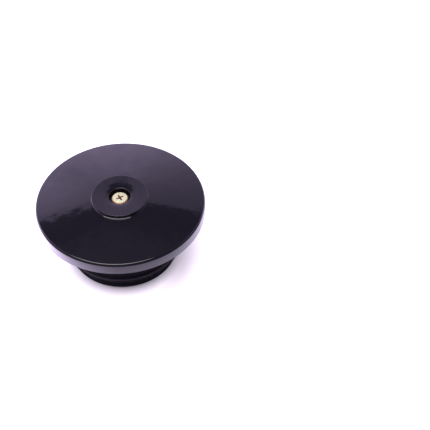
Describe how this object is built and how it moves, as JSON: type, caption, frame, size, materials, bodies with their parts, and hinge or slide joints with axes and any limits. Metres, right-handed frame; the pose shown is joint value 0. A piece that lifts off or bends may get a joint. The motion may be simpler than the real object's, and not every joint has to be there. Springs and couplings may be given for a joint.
{
  "type": "oil filler cap",
  "caption": "Push-in oil filler cap: a gloss black disc cover with a dished boss, screwed from above to a hollow plug that carries a rubber sealing ring.",
  "frame": {"origin": "centre of the nose end of the plug, the lowest plane of the cap", "axes": "+Z along the cap's axis, out of the engine, from the plug's nose towards the cover"},
  "size_m": [0.06, 0.06, 0.029],
  "materials": {
    "cover_plastic": "polished black moulding",
    "plug_plastic": "gloss black moulding with faint turning lines",
    "seal_rubber": "oiled black rubber",
    "plated_steel": "yellow passivated zinc"
  },
  "bodies": {
    "root": {"cover": "cover_plastic", "plug": "plug_plastic", "seal_ring": "seal_rubber", "clamp_screw": "plated_steel", "hex_nut": "plated_steel", "penny_washer": "plated_steel"}
  },
  "joints": []
}
